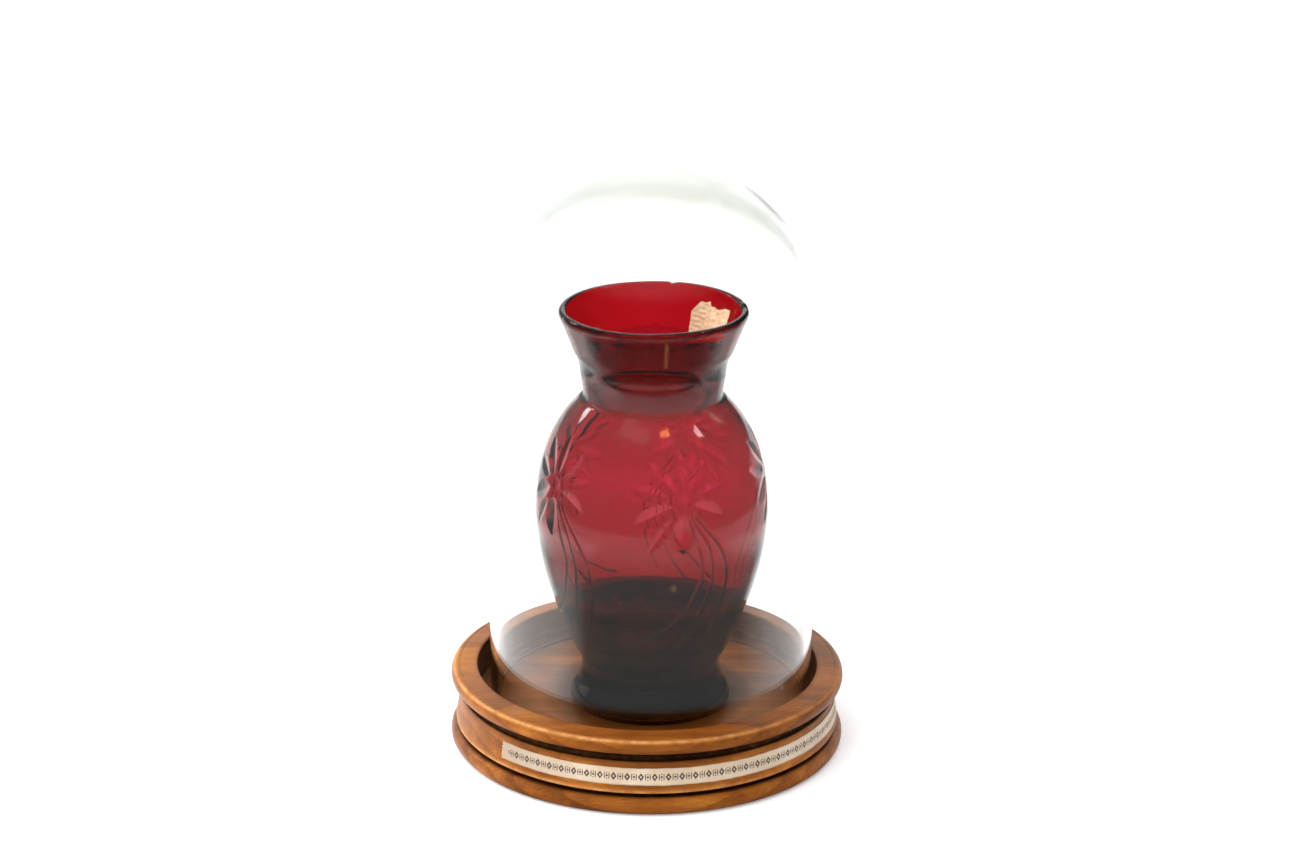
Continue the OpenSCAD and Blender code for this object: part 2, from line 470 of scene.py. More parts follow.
def tape(name, gloss, tone):
    """Old masking tape: beige, brittle, with glue that shines where it is bare."""
    m, n, out, place = material(name)
    spot = place.outputs["Object"]
    blotch = n.noise(spot, 320.0, 5.0, 0.65)
    crepe = n.noise(n.vector("MULTIPLY", spot, (1.0, 1.0, 2.5)), 1700.0, 4.0, 0.6)
    stops = [(0.25, (0.66, 0.37, 0.19)), (0.5, (0.86, 0.58, 0.35)), (0.75, (0.95, 0.76, 0.56))]
    colour = n.ramp(n.sum(n.product(blotch, 0.75), n.product(crepe, 0.25)),
                    [(at, [part * tone for part in beige]) for at, beige in stops])
    # painted light: a faint glow in its own colour stands in for light that reaches it in the vase's mouth
    shader = n.add("ShaderNodeBsdfPrincipled", {
        "Base Color": colour, "Roughness": n.span(blotch, 0.3, 0.7, gloss, gloss + 0.2),
        "IOR": 1.5, "Emission Color": colour, "Emission Strength": 0.1,
        "Normal": n.bump(crepe, 0.5, 0.00015)})
    n.put(out.inputs["Surface"], shader.outputs[0])
    return m


# ---------------------------------------------------------------- wooden base
# Radii and heights of the turned wood that two sub-parts share, in mm
NECK_R = 77.6
BAND_LOW_R, BAND_TOP_R = 81.8, 80.0
BAND_LOW_Z, BAND_TOP_Z = 9.8, 22.6
FLARE_TOP_Z = 22.1


def turned(name, path, shade):
    """A turned ring or disc, a hair out of round. Its shade is 1 for painted shade and -1 for worn wood
    with a painted highlight.
    """
    rows = spin(path, WOOD_SEGMENTS)
    a = angles(WOOD_SEGMENTS)
    wobble = 0.05 * (np.sin(2 * a + 0.7) + 0.6 * np.sin(3 * a + 2.1) + 0.4 * np.sin(7 * a)) - 0.1
    rim_side, by_axis = 60, 5
    rows[..., :2] += wobble[None, :, None] * outwards(a)[None] * (path[:, 0] > rim_side)[:, None, None]
    first = (0, 0, path[0, 1]) if path[0, 0] < by_axis else None
    last = (0, 0, path[-1, 1]) if first else None
    obj = rings(name, rows, first, last)
    # painted highlight: worn marks stay strongest towards the front left, where the light falls, and fade
    # towards the back right
    sheen = np.where(shade[:, None] < 0, 0.58 + 0.42 * np.cos(a[None] + 0.8), 1.0)
    values = (shade[:, None] * sheen).ravel()
    if first:
        values = np.concatenate([values, [shade[0], shade[-1]]])
    point_value(obj, "shade", values)
    return obj


def base_foot():
    """Bottom board with a half-round edge, with painted shade along its bottom and in a line where the
    band stands on it.
    """
    r, h = foot_high[0], foot_high[2]
    bead = h / 2
    bottom_shade_h, line_w = 1.2, 1.6
    under = fill_gaps(np.array([[1.0, 0.0], [r - bead, 0.0]]), 6.0)
    edge = arc((r - bead, bead), bead, -90, 90, 24)[1:]
    top = fill_gaps(np.array([[r - bead, h], [r - bead - 1.2, h], [1.0, h]]), 6.0)[1:]
    path = np.vstack([under, edge, top])
    z = path[:, 1]
    # painted shade: darker towards the bottom, where the board meets the floor
    shade = np.where(z < bottom_shade_h, 0.75 * (bottom_shade_h - z) / bottom_shade_h, 0.0)
    # painted shade in a line on top, where the band stands on it
    on_top = (path[:, 0] > r - bead - 9) & (z > h - 0.9)
    shade = np.where(on_top, np.clip(0.9 * (r - 2.0 - path[:, 0]) / line_w, 0, 1), shade)
    return turned("foot_moulding", path, shade)


def base_band():
    """Flared drum between two grooves, with the recess floor inside it."""
    foot_top = foot_high[2]
    low_neck, neck_top = 79.4, 24.4
    low_z, top_z, low_r, top_r = BAND_LOW_Z, BAND_TOP_Z, BAND_LOW_R, BAND_TOP_R
    path = [[1.0, foot_top], [low_neck, foot_top], [low_neck, low_z - 0.9]]
    flare_low = arc((low_r - 0.75, low_z + 0.1), 0.75, -90, 0, 6)
    flare_top = arc((top_r - 0.6, top_z - 0.6), 0.6, 0, 90, 6)
    path = np.vstack([path, [[low_neck + 0.4, low_z - 0.65]], flare_low, flare_top,
                      [[NECK_R + 0.3, top_z], [NECK_R, top_z + 0.4], [NECK_R, neck_top],
                       [RECESS_R + 0.6, neck_top], [RECESS_R, neck_top - 0.4],
                       [RECESS_R, FLOOR_Z + 0.5], [RECESS_R - 0.5, FLOOR_Z], [1.0, FLOOR_Z]]])
    path = fill_gaps(path, 2.0)
    r, z = path.T
    shade = np.zeros(len(path))
    # painted shade in the grooves below and above the band
    shade[(z < low_z - 0.3) & (r < low_r)] = 0.95
    shade[(z > top_z - 0.2) & (r > RECESS_R + 1)] = 0.92
    # worn lower edge of the flare, which turned() also makes a painted highlight towards the front left
    shade[(r > low_r - 0.5) & (abs(z - low_z) < 0.8)] = -0.7
    # painted shade on the band's top edge, by the groove under the rim
    shade[(r > top_r - 0.4) & (abs(z - top_z + 0.4) < 0.7)] = 0.3
    floor_part = (r < RECESS_R + 0.2) & (z < FLOOR_Z + 0.6) & (z > FLOOR_Z - 0.1)
    # painted shade on the recess floor, growing towards the wall, and a painted shadow in a ring round the
    # vase's foot
    unshaded_r, vase_shadow_r, vase_shadow_w = 46, 32, 14
    to_wall = np.clip((r - unshaded_r) / (RECESS_R - unshaded_r), 0, 1) ** 1.2 * 0.45
    foot_shadow = np.clip(1 - np.abs(r - vase_shadow_r) / vase_shadow_w, 0, 1) ** 0.7 * 0.97
    shade = np.where(floor_part, np.maximum(to_wall, foot_shadow), shade)
    # painted shade on the recess's inner wall
    shade[(r < RECESS_R + 0.3) & (z > FLOOR_Z + 0.4)] = 0.7
    return turned("band_moulding", path, shade)


def base_rim():
    """Ring round the recess: flat top, crisp crease and half-round outer edge."""
    bead, step, top, outer = 3.35, 1.1, RIM_TOP, rim_high[0]
    bead_r, bead_z = outer - bead, top - 0.5 - bead
    bead_low = bead_z - bead
    low = rim_low[2]
    ring = [[RECESS_R, low + 0.01], [NECK_R, low + 0.01], [NECK_R, bead_low - step],
            [bead_r - step - 0.3, bead_low - step], [bead_r - step, bead_low - step + 0.3],
            [bead_r - step, bead_low - 0.05]]
    edge = arc((bead_r, bead_z), bead, -90, 88, 28)
    crease = [[bead_r - 0.25, bead_z + bead - 0.22], [bead_r - 0.7, bead_z + bead + 0.03]]
    inner_r = 0.9
    inner = arc((RECESS_R + inner_r, top - inner_r), inner_r, 90, 180, 8)
    path = fill_gaps(np.vstack([ring, edge, crease, inner, [[RECESS_R, low + 0.3]]]), 1.2)
    r, z = path.T
    shade = np.zeros(len(path))
    # painted shade under the rim, in the step under its bead, at its crease and on its inner top edge
    shade[z < bead_low + 0.1] = 0.95
    in_step = (r > bead_r - step - 0.1) & (r < bead_r)
    shade[in_step & (z < bead_z) & (z > bead_low - step + 0.1)] = 0.35
    shade[(abs(r - bead_r + 0.3) < 0.35) & (z > bead_z)] = 0.12
    shade[(r < RECESS_R + 1) & (z > top - 0.7)] = 0.15
    # a worn band along the bead's upper side, lighter partly from wear and partly as a painted highlight
    around = np.degrees(np.arctan2(z - bead_z, r - bead_r))
    on_bead = (np.hypot(z - bead_z, r - bead_r) > bead - 0.1) & (r > bead_r - 0.2)
    worn_at, worn_half = 52, 26
    worn = np.clip(1 - np.abs(around - worn_at) / worn_half, 0, 1)
    shade = np.where(on_bead & (worn > 0), -0.85 * worn, shade)
    # painted shade on the rim's inner wall
    shade[(r < RECESS_R + 0.5) & (z < top - 0.5)] = 0.72
    return turned("rim_moulding", path, shade)


# ---------------------------------------------------------------- paper label
def label():
    """Thin strip pasted round the band, with slightly uneven edges and a lifted left end."""
    n_along, n_up = 420, 14
    low_z, high_z, thick, margin, paste = label_low[2], label_high[2], 0.22, 0.15, 0.03
    a = np.linspace(LABEL_START, LABEL_END, n_along)
    t = np.linspace(0, 1, n_up)
    edge = 0.10 * np.sin(a * 0.37) + 0.07 * np.sin(a * 1.31 + 1.0)
    z = low_z + margin + (high_z - low_z - 2 * margin) * t[None] + edge[:, None] * (t[None] - 0.5)
    r_low, r_top = label_radius(low_z), label_radius(high_z)
    r = r_low + (r_top - r_low) * (z - low_z) / (high_z - low_z)
    ragged = 0.35 * np.random.default_rng(LABEL_SEED).standard_normal(n_up)
    a_grid = np.repeat(a[:, None], n_up, 1)
    a_grid[0] += 0.3 * ragged
    a_grid[-1] -= 0.3 * np.abs(ragged)
    lift = 0.18 * np.exp(-((a - LABEL_START) / 1.2) ** 2)
    cockle = 0.03 * (1 + np.sin(a * 2.3) * np.sin(a * 0.71 + 2))
    outer_r = r + (thick * 0.55 + cockle + lift)[:, None]
    rad = np.radians(a_grid)

    def place(radius):
        return np.stack([radius * np.sin(rad), -radius * np.cos(rad), z], -1)

    outer, inner = place(outer_r), place(r + paste)
    verts = np.concatenate([outer.reshape(-1, 3), inner.reshape(-1, 3)])
    front = grid_quads(n_along, n_up)[:, [0, 3, 2, 1]]
    off = n_along * n_up
    back = front[:, ::-1] + off
    low = np.arange(n_along - 1) * n_up
    high = low + n_up - 1
    low_edge = np.stack([low, low + off, low + n_up + off, low + n_up], -1)
    high_edge = np.stack([high, high + n_up, high + n_up + off, high + off], -1)
    up = np.arange(n_up - 1)
    left = np.stack([up, up + 1, up + 1 + off, up + off], -1)
    right = np.stack([up, up + off, up + 1 + off, up + 1], -1) + (n_along - 1) * n_up
    obj = mesh_from("label_strip", verts, np.vstack([front, back, low_edge, high_edge, left, right]))
    u = np.radians(a - LABEL_START) * LABEL_MEAN_R
    uv = np.stack([np.repeat(u, n_up), np.tile(t * (high_z - low_z), n_along)], -1)
    uv = np.vstack([uv, uv])
    layer = obj.data.uv_layers.new(name="strip")
    index = np.zeros(len(obj.data.loops), np.int32)
    obj.data.loops.foreach_get("vertex_index", index)
    layer.data.foreach_set("uv", uv[index].astype(np.float32).ravel())
    return obj


def label_radius(z):
    """Radius of the band's flared face at a height, in mm."""
    return BAND_LOW_R + (BAND_TOP_R - BAND_LOW_R) * (z - BAND_LOW_Z) / (FLARE_TOP_Z - BAND_LOW_Z)


# ---------------------------------------------------------------- glass bell
def bell():
    """Blown bell: straight wall, round crown and fire-polished lip, a little uneven near the crown."""
    outer_r = (bell_high[0] - bell_low[0]) / 2
    wall, lip = 3.0, 1.7
    crown_z, inner_r = bell_high[2] - outer_r, outer_r - wall
    inside = arc((0, crown_z), inner_r, 90, 0, 90)[1:]
    wall_in = fill_gaps(np.array([[inner_r, crown_z], [inner_r, FLOOR_Z + 2.4]]), 3.0)[1:]
    bottom = arc((outer_r - lip, FLOOR_Z + lip), lip, 165, 360, 20)
    wall_out = fill_gaps(np.array([[outer_r, FLOOR_Z + lip], [outer_r, crown_z]]), 3.0)[1:]
    outside = arc((0, crown_z), outer_r, 0, 90, 90)[1:-1]
    path = np.vstack([inside, wall_in, bottom, wall_out, outside])
    rows = spin(path, BELL_SEGMENTS)
    a = angles(BELL_SEGMENTS)
    is_out = (np.arange(len(path)) >= len(path) - len(outside) - len(wall_out))[:, None]
    height = ((path[:, 1] - crown_z) / outer_r).clip(0, 1)[:, None]
    wave = np.sin(2 * a + 5 * height) + 0.7 * np.sin(3 * a + 1.3 - 9 * height)
    ripple = np.sin(height * 21 + 0.8 * np.sin(a))
    thick = 0.07 * wave * np.sin(np.pi * height.clip(0, 1)) + 0.05 * ripple * height
    n_r, n_z = path[:, 0] / outer_r, (path[:, 1] - crown_z).clip(0) / outer_r
    ease = height ** 2 * (3 - 2 * height)
    move = np.where(is_out, -0.09 + 0.5 * thick, 0.10 - thick) * ease
    rows[..., :2] += (move * n_r[:, None])[..., None] * outwards(a)[None]
    rows[..., 2] += move * n_z[:, None]
    move_rows(rows, (BELL_AT[0], BELL_AT[1], 0.0))
    top_in, top_out = crown_z + inner_r + 0.1, bell_high[2] - 0.09
    obj = rings("bell_glass", rows, (BELL_AT[0], BELL_AT[1], top_in), (BELL_AT[0], BELL_AT[1], top_out))
    high = height[:, 0]
    # painted shade: a faint stain all over that deepens over the crown, with two narrow darker bands round
    # it and a little more on one side
    stain = 0.10 + 0.30 * np.interp(high, [0.25, 0.62, 0.86, 1.0], [0.0, 1.0, 0.8, 0.1])
    stain += 0.55 * np.exp(-((high - 0.90) / 0.035) ** 2) + 0.30 * np.exp(-((high - 0.72) / 0.03) ** 2)
    stain = stain[:, None] * (1 + 0.25 * np.sin(a + 0.6) * (height > 0))
    point_value(obj, "skin", np.concatenate([stain.ravel(), [0.15, 0.15]]))
    return obj


# ---------------------------------------------------------------- cut ruby vase
BODY = [[29.4, 14.5], [29.7, 19.3], [33.1, 25.9], [36.2, 34.0], [41.5, 47.3], [45.9, 63.3],
        [48.1, 78.0], [48.6, 89.0], [46.9, 103.0], [42.9, 116.0], [37.2, 126.0], [30.4, 134.0]]
NECK = [[28.8, 134.9], [29.3, 139.2], [30.3, 144.8], [31.8, 149.8], [33.6, 155.5], [35.5, 160.7],
        [37.4, 165.6], [38.9, 169.3]]
INSIDE = [[36.5, 170.8], [34.8, 166.6], [32.4, 160.6], [30.2, 154.7], [28.6, 150.6], [27.2, 146.6],
          [26.2, 143.0], [25.9, 139.5], [26.3, 136.0], [28.0, 132.6], [31.0, 129.4], [39.5, 118.0],
          [44.2, 106.0], [46.5, 88.0], [45.8, 77.0], [43.8, 66.0], [41.3, 56.5], [37.8, 47.2],
          [33.8, 38.9], [29.0, 31.8], [23.0, 26.3], [14.5, 22.8], [6.0, 21.2], [1.0, 21.0]]
BOTTOM_Z = 21.0
LIP_R = 1.6
# The neck's darker skin starts here, over the stain of the whole body
NECK_Z = 131
BODY_STAIN = 0.17
# Centre and width in degrees and depth in mm of the chips in the lip
CHIPS = [(95, 5.0, 0.9), (106, 3.0, 0.6), (168, 2.2, 0.6), (-72, 1.6, 0.3)]
FLOWER_Z = 104.0
FLOWER_ANGLES = [15.5 + 72 * i for i in range(5)]
PETALS = [(92, 4.5, 20, 5.8), (135, 4.5, 22, 7.2), (166, 7.0, 23, 6.4), (205, 5.0, 22, 8.4),
          (236, 9.0, 25, 4.6), (269, 5.5, 22, 9.6), (335, 4.5, 19.5, 8.0), (14, 7.0, 20, 5.0),
          (50, 4.5, 19.5, 7.6)]
STEMS = [
    [(5.2, -6.0), (8.6, -11.0), (14.2, -18.6), (18.2, -26.2), (20.4, -33.2), (21.0, -40.0),
     (20.2, -47.4), (17.8, -55.1), (14.0, -62.5)],
    [(3.6, -6.0), (5.2, -9.7), (9.7, -17.6), (11.9, -24.2), (13.5, -33.2), (12.8, -39.4),
     (11.3, -47.9), (8.5, -55.2), (3.7, -60.7), (-3.5, -66.5)],
    [(2.6, -8.0), (4.3, -13.7), (6.2, -20.5), (7.7, -26.0), (8.6, -31.0), (7.7, -36.7),
     (4.7, -43.8), (1.3, -50.7), (-6.3, -57.2), (-15.0, -61.9), (-22.2, -63.6)]]
FLOWER_R = 48.0
# Window round a flower's centre that holds its petals and stems, in mm
FLOWER_HALF_W, FLOWER_LOW, FLOWER_HIGH = 27, -70, 25
PETAL_SLOPE = 0.24
EYE_R, EYE_DEPTH = 2.8, 0.45
STEM_HALF_W, STEM_DEPTH = 0.55, 0.40
# Stain of a petal's darker lower and paler upper facet, which paints shade and light on it, and of the
# stems, which paints shade in their grooves
FACET_SHADED, FACET_LIT, STEM_SHADE = 0.25, 0.06, 0.85
OLIVE_HALF_H = 5.2
# A cut less deep than this leaves the skin's stain alone, in mm
SHALLOW = 0.02
# Centre and half-span in degrees, height and depth in mm, and stain of each olive, which paints shade on
# it and is darkest on the two side olives
OLIVES = [(-2, 38.5, 148.4, 1.2, 0.84), (83, 45, 150.0, 0.7, 1.0), (178, 41, 149.0, 1.2, 0.84),
          (-91, 43, 150.0, 0.7, 1.0)]


def leaf_cut(x, y, angle, start, end, width, slope):
    """Depth of a V-cut that is pointed at both ends."""
    c, s = math.cos(math.radians(angle)), math.sin(math.radians(angle))
    along, across = x * c + y * s, np.abs(y * c - x * s)
    t = ((along - start) / (end - start)).clip(0, 1)
    half = width / 2 * (4 * t * (1 - t)) ** 0.72 + 1e-6
    return slope * (half - across).clip(0)


def flower_cut(x, y):
    """Depth and stain of one flower and its three stems, the stain painting light and shade on the petals'
    facets and shade in the stems, x along the surface and y above its centre.
    """
    depth = np.zeros_like(x)
    stain = np.zeros_like(x)
    for angle, start, end, width in PETALS:
        petal = leaf_cut(x, y, angle, start, end, width, PETAL_SLOPE)
        c, s = math.cos(math.radians(angle)), math.sin(math.radians(angle))
        # painted light and shade: each petal's lower facet is stained darker and its upper facet paler
        lower = (y * c < x * s) ^ (c < 0)
        facet = np.where(lower, FACET_SHADED, FACET_LIT)
        stain = np.where(petal > depth, facet, stain)
        depth = np.maximum(depth, petal)
    depth = np.maximum(depth, EYE_DEPTH * (1 - (x ** 2 + y ** 2) / EYE_R ** 2))
    for stem in STEMS:
        line = smooth_curve(stem, 12)
        near = np.full(x.shape, 9.0)
        for (ax, ay), (bx, by) in zip(line[:-1], line[1:]):
            ex, ey = bx - ax, by - ay
            t = (((x - ax) * ex + (y - ay) * ey) / (ex * ex + ey * ey)).clip(0, 1)
            near = np.minimum(near, np.hypot(x - ax - t * ex, y - ay - t * ey))
        groove = STEM_DEPTH * (1 - (near / STEM_HALF_W) ** 2)
        # painted shade in the stem grooves
        stain = np.where(groove > SHALLOW, STEM_SHADE, stain)
        depth = np.maximum(depth, groove)
    return depth.clip(0), stain


def degrees_from(angle, centre):
    """Angle in radians as degrees from a direction, between -180 and 180."""
    return (np.degrees(angle) - centre + 180) % 360 - 180


def olive_cut(angle, z):
    """Depth and stain of the four long concave olives round the neck; the stain paints shade on them,
    deepening towards their tips.
    """
    depth, stain = np.zeros_like(z), np.zeros_like(z)
    for centre, span, mid, deep, dark in OLIVES:
        t = (np.abs(degrees_from(angle, centre)) / span).clip(0, 1)
        half = OLIVE_HALF_H * (1 - t ** 2) ** 0.62 + 1e-6
        cut = deep * (1 - t ** 2) ** 0.7 * (1 - (np.abs(z - mid) / half) ** 2).clip(0)
        # painted shade: each olive darkens to black towards its pointed tips
        tip = ((t - 0.55) / 0.25).clip(0, 1)
        stain = np.where(cut > SHALLOW / 2, dark + (1 - dark) * tip, stain)
        depth = np.maximum(depth, cut)
    return depth, stain


def vase():
    """Blown vase with a solid foot, cut flowers and neck olives, and an uneven unpolished lip."""
    foot_r, round_r = 33.8, 1.2
    foot_line = [[foot_r, 3.2], [foot_r - 0.8, 6.0], [30.6, 10.0], BODY[0]]
    foot = np.vstack([[[1.0, round_r], [foot_r - 6.0, round_r], [foot_r - 4.8, 0.0],
                       [foot_r - round_r, 0.0]],
                      arc((foot_r - round_r, round_r), round_r, -90, 0, 6)[1:],
                      smooth_curve(foot_line)])
    foot = fill_gaps(foot, 1.5)
    cut_low, cut_high = 36, 128

    def step(z):
        return 0.31 if cut_low < z < cut_high else 0.6

    outer = resample(np.vstack([smooth_curve(BODY), smooth_curve(NECK)]), step)[1:]
    lip_z = VASE_H - LIP_R
    lip = arc((NECK[-1][0] - LIP_R * 0.85, lip_z), LIP_R, 0, 180, 14)
    inside = resample(smooth_curve(INSIDE), 2.4)
    inside = inside[inside[:, 1] < lip_z - 0.5]
    path = np.vstack([foot, outer, lip, inside])
    rows = spin(path, VASE_SEGMENTS)
    a = angles(VASE_SEGMENTS)
    angle = np.broadcast_to(a, (len(outer), VASE_SEGMENTS))
    z = np.broadcast_to(outer[:, 1][:, None], angle.shape)
    cut_rows = slice(len(foot), len(foot) + len(outer))
    depth, olive_shade = olive_cut(angle, z)
    around = 0.56 + 0.22 * np.cos(a)
    skin = ((path[:, 1] - NECK_Z) / 5).clip(0, 1)[:, None] * around[None]
    skin = np.where(path[:, 1:] > lip_z - 2.5, np.minimum(skin, 0.35), skin)
    stain = np.maximum(np.maximum(skin[cut_rows], BODY_STAIN), olive_shade)
    for at in FLOWER_ANGLES:
        x = ((angle - math.radians(at) + math.pi) % TURN - math.pi) * FLOWER_R
        y = z - FLOWER_Z
        near = (np.abs(x) < FLOWER_HALF_W) & (y > FLOWER_LOW) & (y < FLOWER_HIGH)
        # the cuts' stain paints light and shade on the petals and shade in the stems
        cut, cut_light_and_shade = flower_cut(x[near], y[near])
        depth[near] = np.maximum(depth[near], cut)
        stain[near] = np.where(cut > SHALLOW, cut_light_and_shade, stain[near])
    normal = normals_of(outer)
    rows[cut_rows, :, :2] -= (depth * normal[:, :1])[..., None] * outwards(a)[None]
    rows[cut_rows, :, 2] -= depth * normal[:, 1:]
    skin[cut_rows] = stain
    uneven_lip(rows, path, a)
    move_rows(rows, (VASE_AT[0], VASE_AT[1], VASE_Z))
    obj = rings("ruby_vase", rows, (VASE_AT[0], VASE_AT[1], VASE_Z + round_r),
                (VASE_AT[0], VASE_AT[1], VASE_Z + BOTTOM_Z))
    point_value(obj, "skin", np.concatenate([skin.ravel(), [0, 0]]))
    return obj


def uneven_lip(rows, path, a):
    """Makes the mouth wave a little, with a rough chipped place and a small nick."""
    low_z, chip_h = 150, 3.2
    share = ((path[:, 1] - low_z) / (VASE_H - low_z)).clip(0, 1) ** 1.5
    wave = -0.5 + 0.30 * np.sin(a - 1.2) + 0.18 * np.sin(2 * a + 0.4) + 0.08 * np.sin(5 * a)
    rows[..., 2] += share[:, None] * wave[None]
    top = ((path[:, 1] - (VASE_H - chip_h)) / 3.0).clip(0, 1)[:, None]
    for centre, width, depth in CHIPS:
        off = degrees_from(a, centre)
        rough = 1 + 0.35 * np.sin(off * 2.3) + 0.2 * np.sin(off * 5.1)
        bite = (depth * np.exp(-(off / width) ** 2) * rough)[None]
        rows[..., 2] -= top * bite
        rows[..., :2] -= (top * 0.35 * bite)[..., None] * outwards(a)[None]


# ---------------------------------------------------------------- tape in the mouth
TAPE_THICK = 0.22
TAPE_LOW_Z = 154
# Torn top edges: share of the strip's width and height above the vase's foot in mm
LEFT_TOP = [(0, 166.0), (0.15, 167.6), (0.3, 166.9), (0.62, 166.8), (0.72, 165.6), (1, 162.5)]
RIGHT_TOP = [(0, 163), (0.1, 167.6), (0.35, 167.0), (0.62, 165.4), (0.8, 166.0), (1, 165)]


def inside_radius(z):
    """Radius of the vase's inside at a height above its foot."""
    line = smooth_curve(INSIDE)[::-1]
    return np.interp(z, line[:, 1], line[:, 0])


def tape_flap(name, a1, a2, top, gap, lean, seed):
    """A stiff, crinkled strip that follows the wall and leans off it, with a torn top edge."""
    n_a, n_z = 90, 90
    creases, crease_depth, mean_r = 9, 0.09, 33
    draw = np.random.default_rng(seed)
    a = np.linspace(a1, a2, n_a)
    t = np.linspace(0, 1, n_z)
    tops = np.interp(np.linspace(0, 1, n_a), [p[0] for p in top], [p[1] for p in top])
    tops = tops + 0.05 * draw.standard_normal(n_a)
    z = TAPE_LOW_Z + (tops[:, None] - TAPE_LOW_Z) * t[None]
    crinkle = np.zeros((n_a, n_z))
    arc_mm = np.radians(a - a1)[:, None] * mean_r
    for _ in range(creases):
        theta = draw.uniform(0, math.pi)
        period = draw.uniform(3.0, 8.0)
        phase = draw.uniform(0, TURN)
        wave = np.sin((arc_mm * math.cos(theta) + z * math.sin(theta)) * TURN / period + phase)
        crinkle += (1 - np.abs(wave)) * crease_depth
    r = inside_radius(z) - gap - lean * t[None] ** 2 - crinkle
    rad = np.radians(np.repeat(a[:, None], n_z, 1))
    pts = np.stack([r * np.cos(rad), r * np.sin(rad), z], -1)
    move_rows(pts, (VASE_AT[0], VASE_AT[1], VASE_Z))
    obj = mesh_from(name, pts.reshape(-1, 3), grid_quads(n_a, n_z))
    solid = obj.modifiers.new("thickness", "SOLIDIFY")
    solid.thickness = TAPE_THICK * MM
    solid.offset = 1.0
    bpy.context.view_layer.objects.active = obj
    with bpy.context.temp_override(object=obj, active_object=obj, selected_objects=[obj]):
        bpy.ops.object.modifier_apply(modifier="thickness")
    return obj


# ---------------------------------------------------------------- floor, world and camera
FLOOR_HALF = 40.0
CAMERA_FILL = 0.22
SEEN_WHITE = 1.3
LAMP = 16.0


def rays(n):
    """Light path, whether a ray was mirrored, and whether it went through 4 faces of glass or more."""
    path = n.add("ShaderNodeLightPath")
    mirrored = n.span(path.outputs["Glossy Depth"], 0.4, 0.6)
    deep = n.span(path.outputs["Transmission Depth"], 3.4, 3.6)
    return path, mirrored, deep


def heading(n, x, y):
    """Angle round the Z axis in degrees: 0 at the front, growing towards +X."""
    return n.degrees("ARCTAN2", x, n.product(y, -1.0))


def floor():
    """Large pale floor, with three changes that stand in for a real studio.

    Mirrored rays see the plan of a table: dark in front, pale beside and behind. Of these, rays that
    went through 4 faces of glass, as from the vase, see their own plan and a small warm glow. Rays
    through the bell find the floor darker far away and far out. Camera rays get a small even fill.
    """
    m, n, out, place = material("pale_floor")
    spot = place.outputs["Object"]
    path, mirrored, deep = rays(n)
    x, y, _ = n.split(spot)
    away = n.vector("LENGTH", spot)
    az = heading(n, x, y)
    around = n.size(az)
    not_deep = n.rest_of(deep)
    for_vase = n.product(n.span(away, 0.44, 0.52, 0.52, 0.05), n.span(away, 0.17, 0.22, 0.22, 1.0))
    for_bell = n.span(away, 0.575, 0.625, 0.27, 0.04)
    front = n.sum(n.product(deep, for_vase), n.product(not_deep, for_bell))
    sides = n.most(n.span(az, -30.0, -62.0, 0.0, 1.35), n.span(az, 42.0, 84.0, 0.0, 1.05))
    beside = n.product(sides, n.span(away, 0.2, 0.42, 1.0, 0.0))
    dimmed = n.product(deep, n.span(away, 0.18, 0.24, 0.85, 0.0))
    beside = n.product(beside, n.rest_of(dimmed))
    behind = n.most(n.span(around, 115.0, 140.0), n.product(n.span(around, 78.0, 98.0), not_deep))
    table = n.most(front, beside, behind)
    level = n.sum(n.product(mirrored, n.less(table, 1.0)), 1.0)
    far = n.most(n.span(n.size(x), 0.16, 0.36, 0.0, 0.22), n.span(away, 0.95, 1.5, 0.0, 0.38))
    through = path.outputs["Transmission Depth"]
    by_bell = n.product(n.span(through, 0.4, 0.6), n.span(through, 4.6, 4.4))
    faded = n.product(n.product(far, by_bell), n.rest_of(mirrored))
    level = n.product(level, n.rest_of(faded))
    grain = n.noise(spot, 60.0, 3.0)
    glow = n.span(n.vector("DISTANCE", spot, (0.052, -0.137, 0.0)), 0.012, 0.004)
    glow = n.product(glow, n.product(mirrored, deep))
    shader = n.add("ShaderNodeBsdfPrincipled", {
        "Base Color": n.grey(n.product(level, n.span(grain, 0.2, 0.8, 0.875, 0.895))),
        "Roughness": 0.9, "Specular IOR Level": 0.0, "Emission Color": (1.0, 0.55, 0.18, 1),
        "Emission Strength": n.product(glow, 2.0)})
    fill = n.add("ShaderNodeEmission", {"Strength": n.product(path.outputs["Is Camera Ray"], CAMERA_FILL)})
    total = n.add("ShaderNodeAddShader", {0: shader.outputs[0], 1: fill.outputs[0]})
    n.put(out.inputs["Surface"], total.outputs[0])
    h = FLOOR_HALF
    mesh = bpy.data.meshes.new("floor")
    mesh.from_pydata([(-h, -h, 0), (h, -h, 0), (h, h, 0), (-h, h, 0)], [], [(0, 1, 2, 3)])
    mesh.materials.append(m)
    obj = bpy.data.objects.new("floor", mesh)
    bpy.context.scene.collection.objects.link(obj)


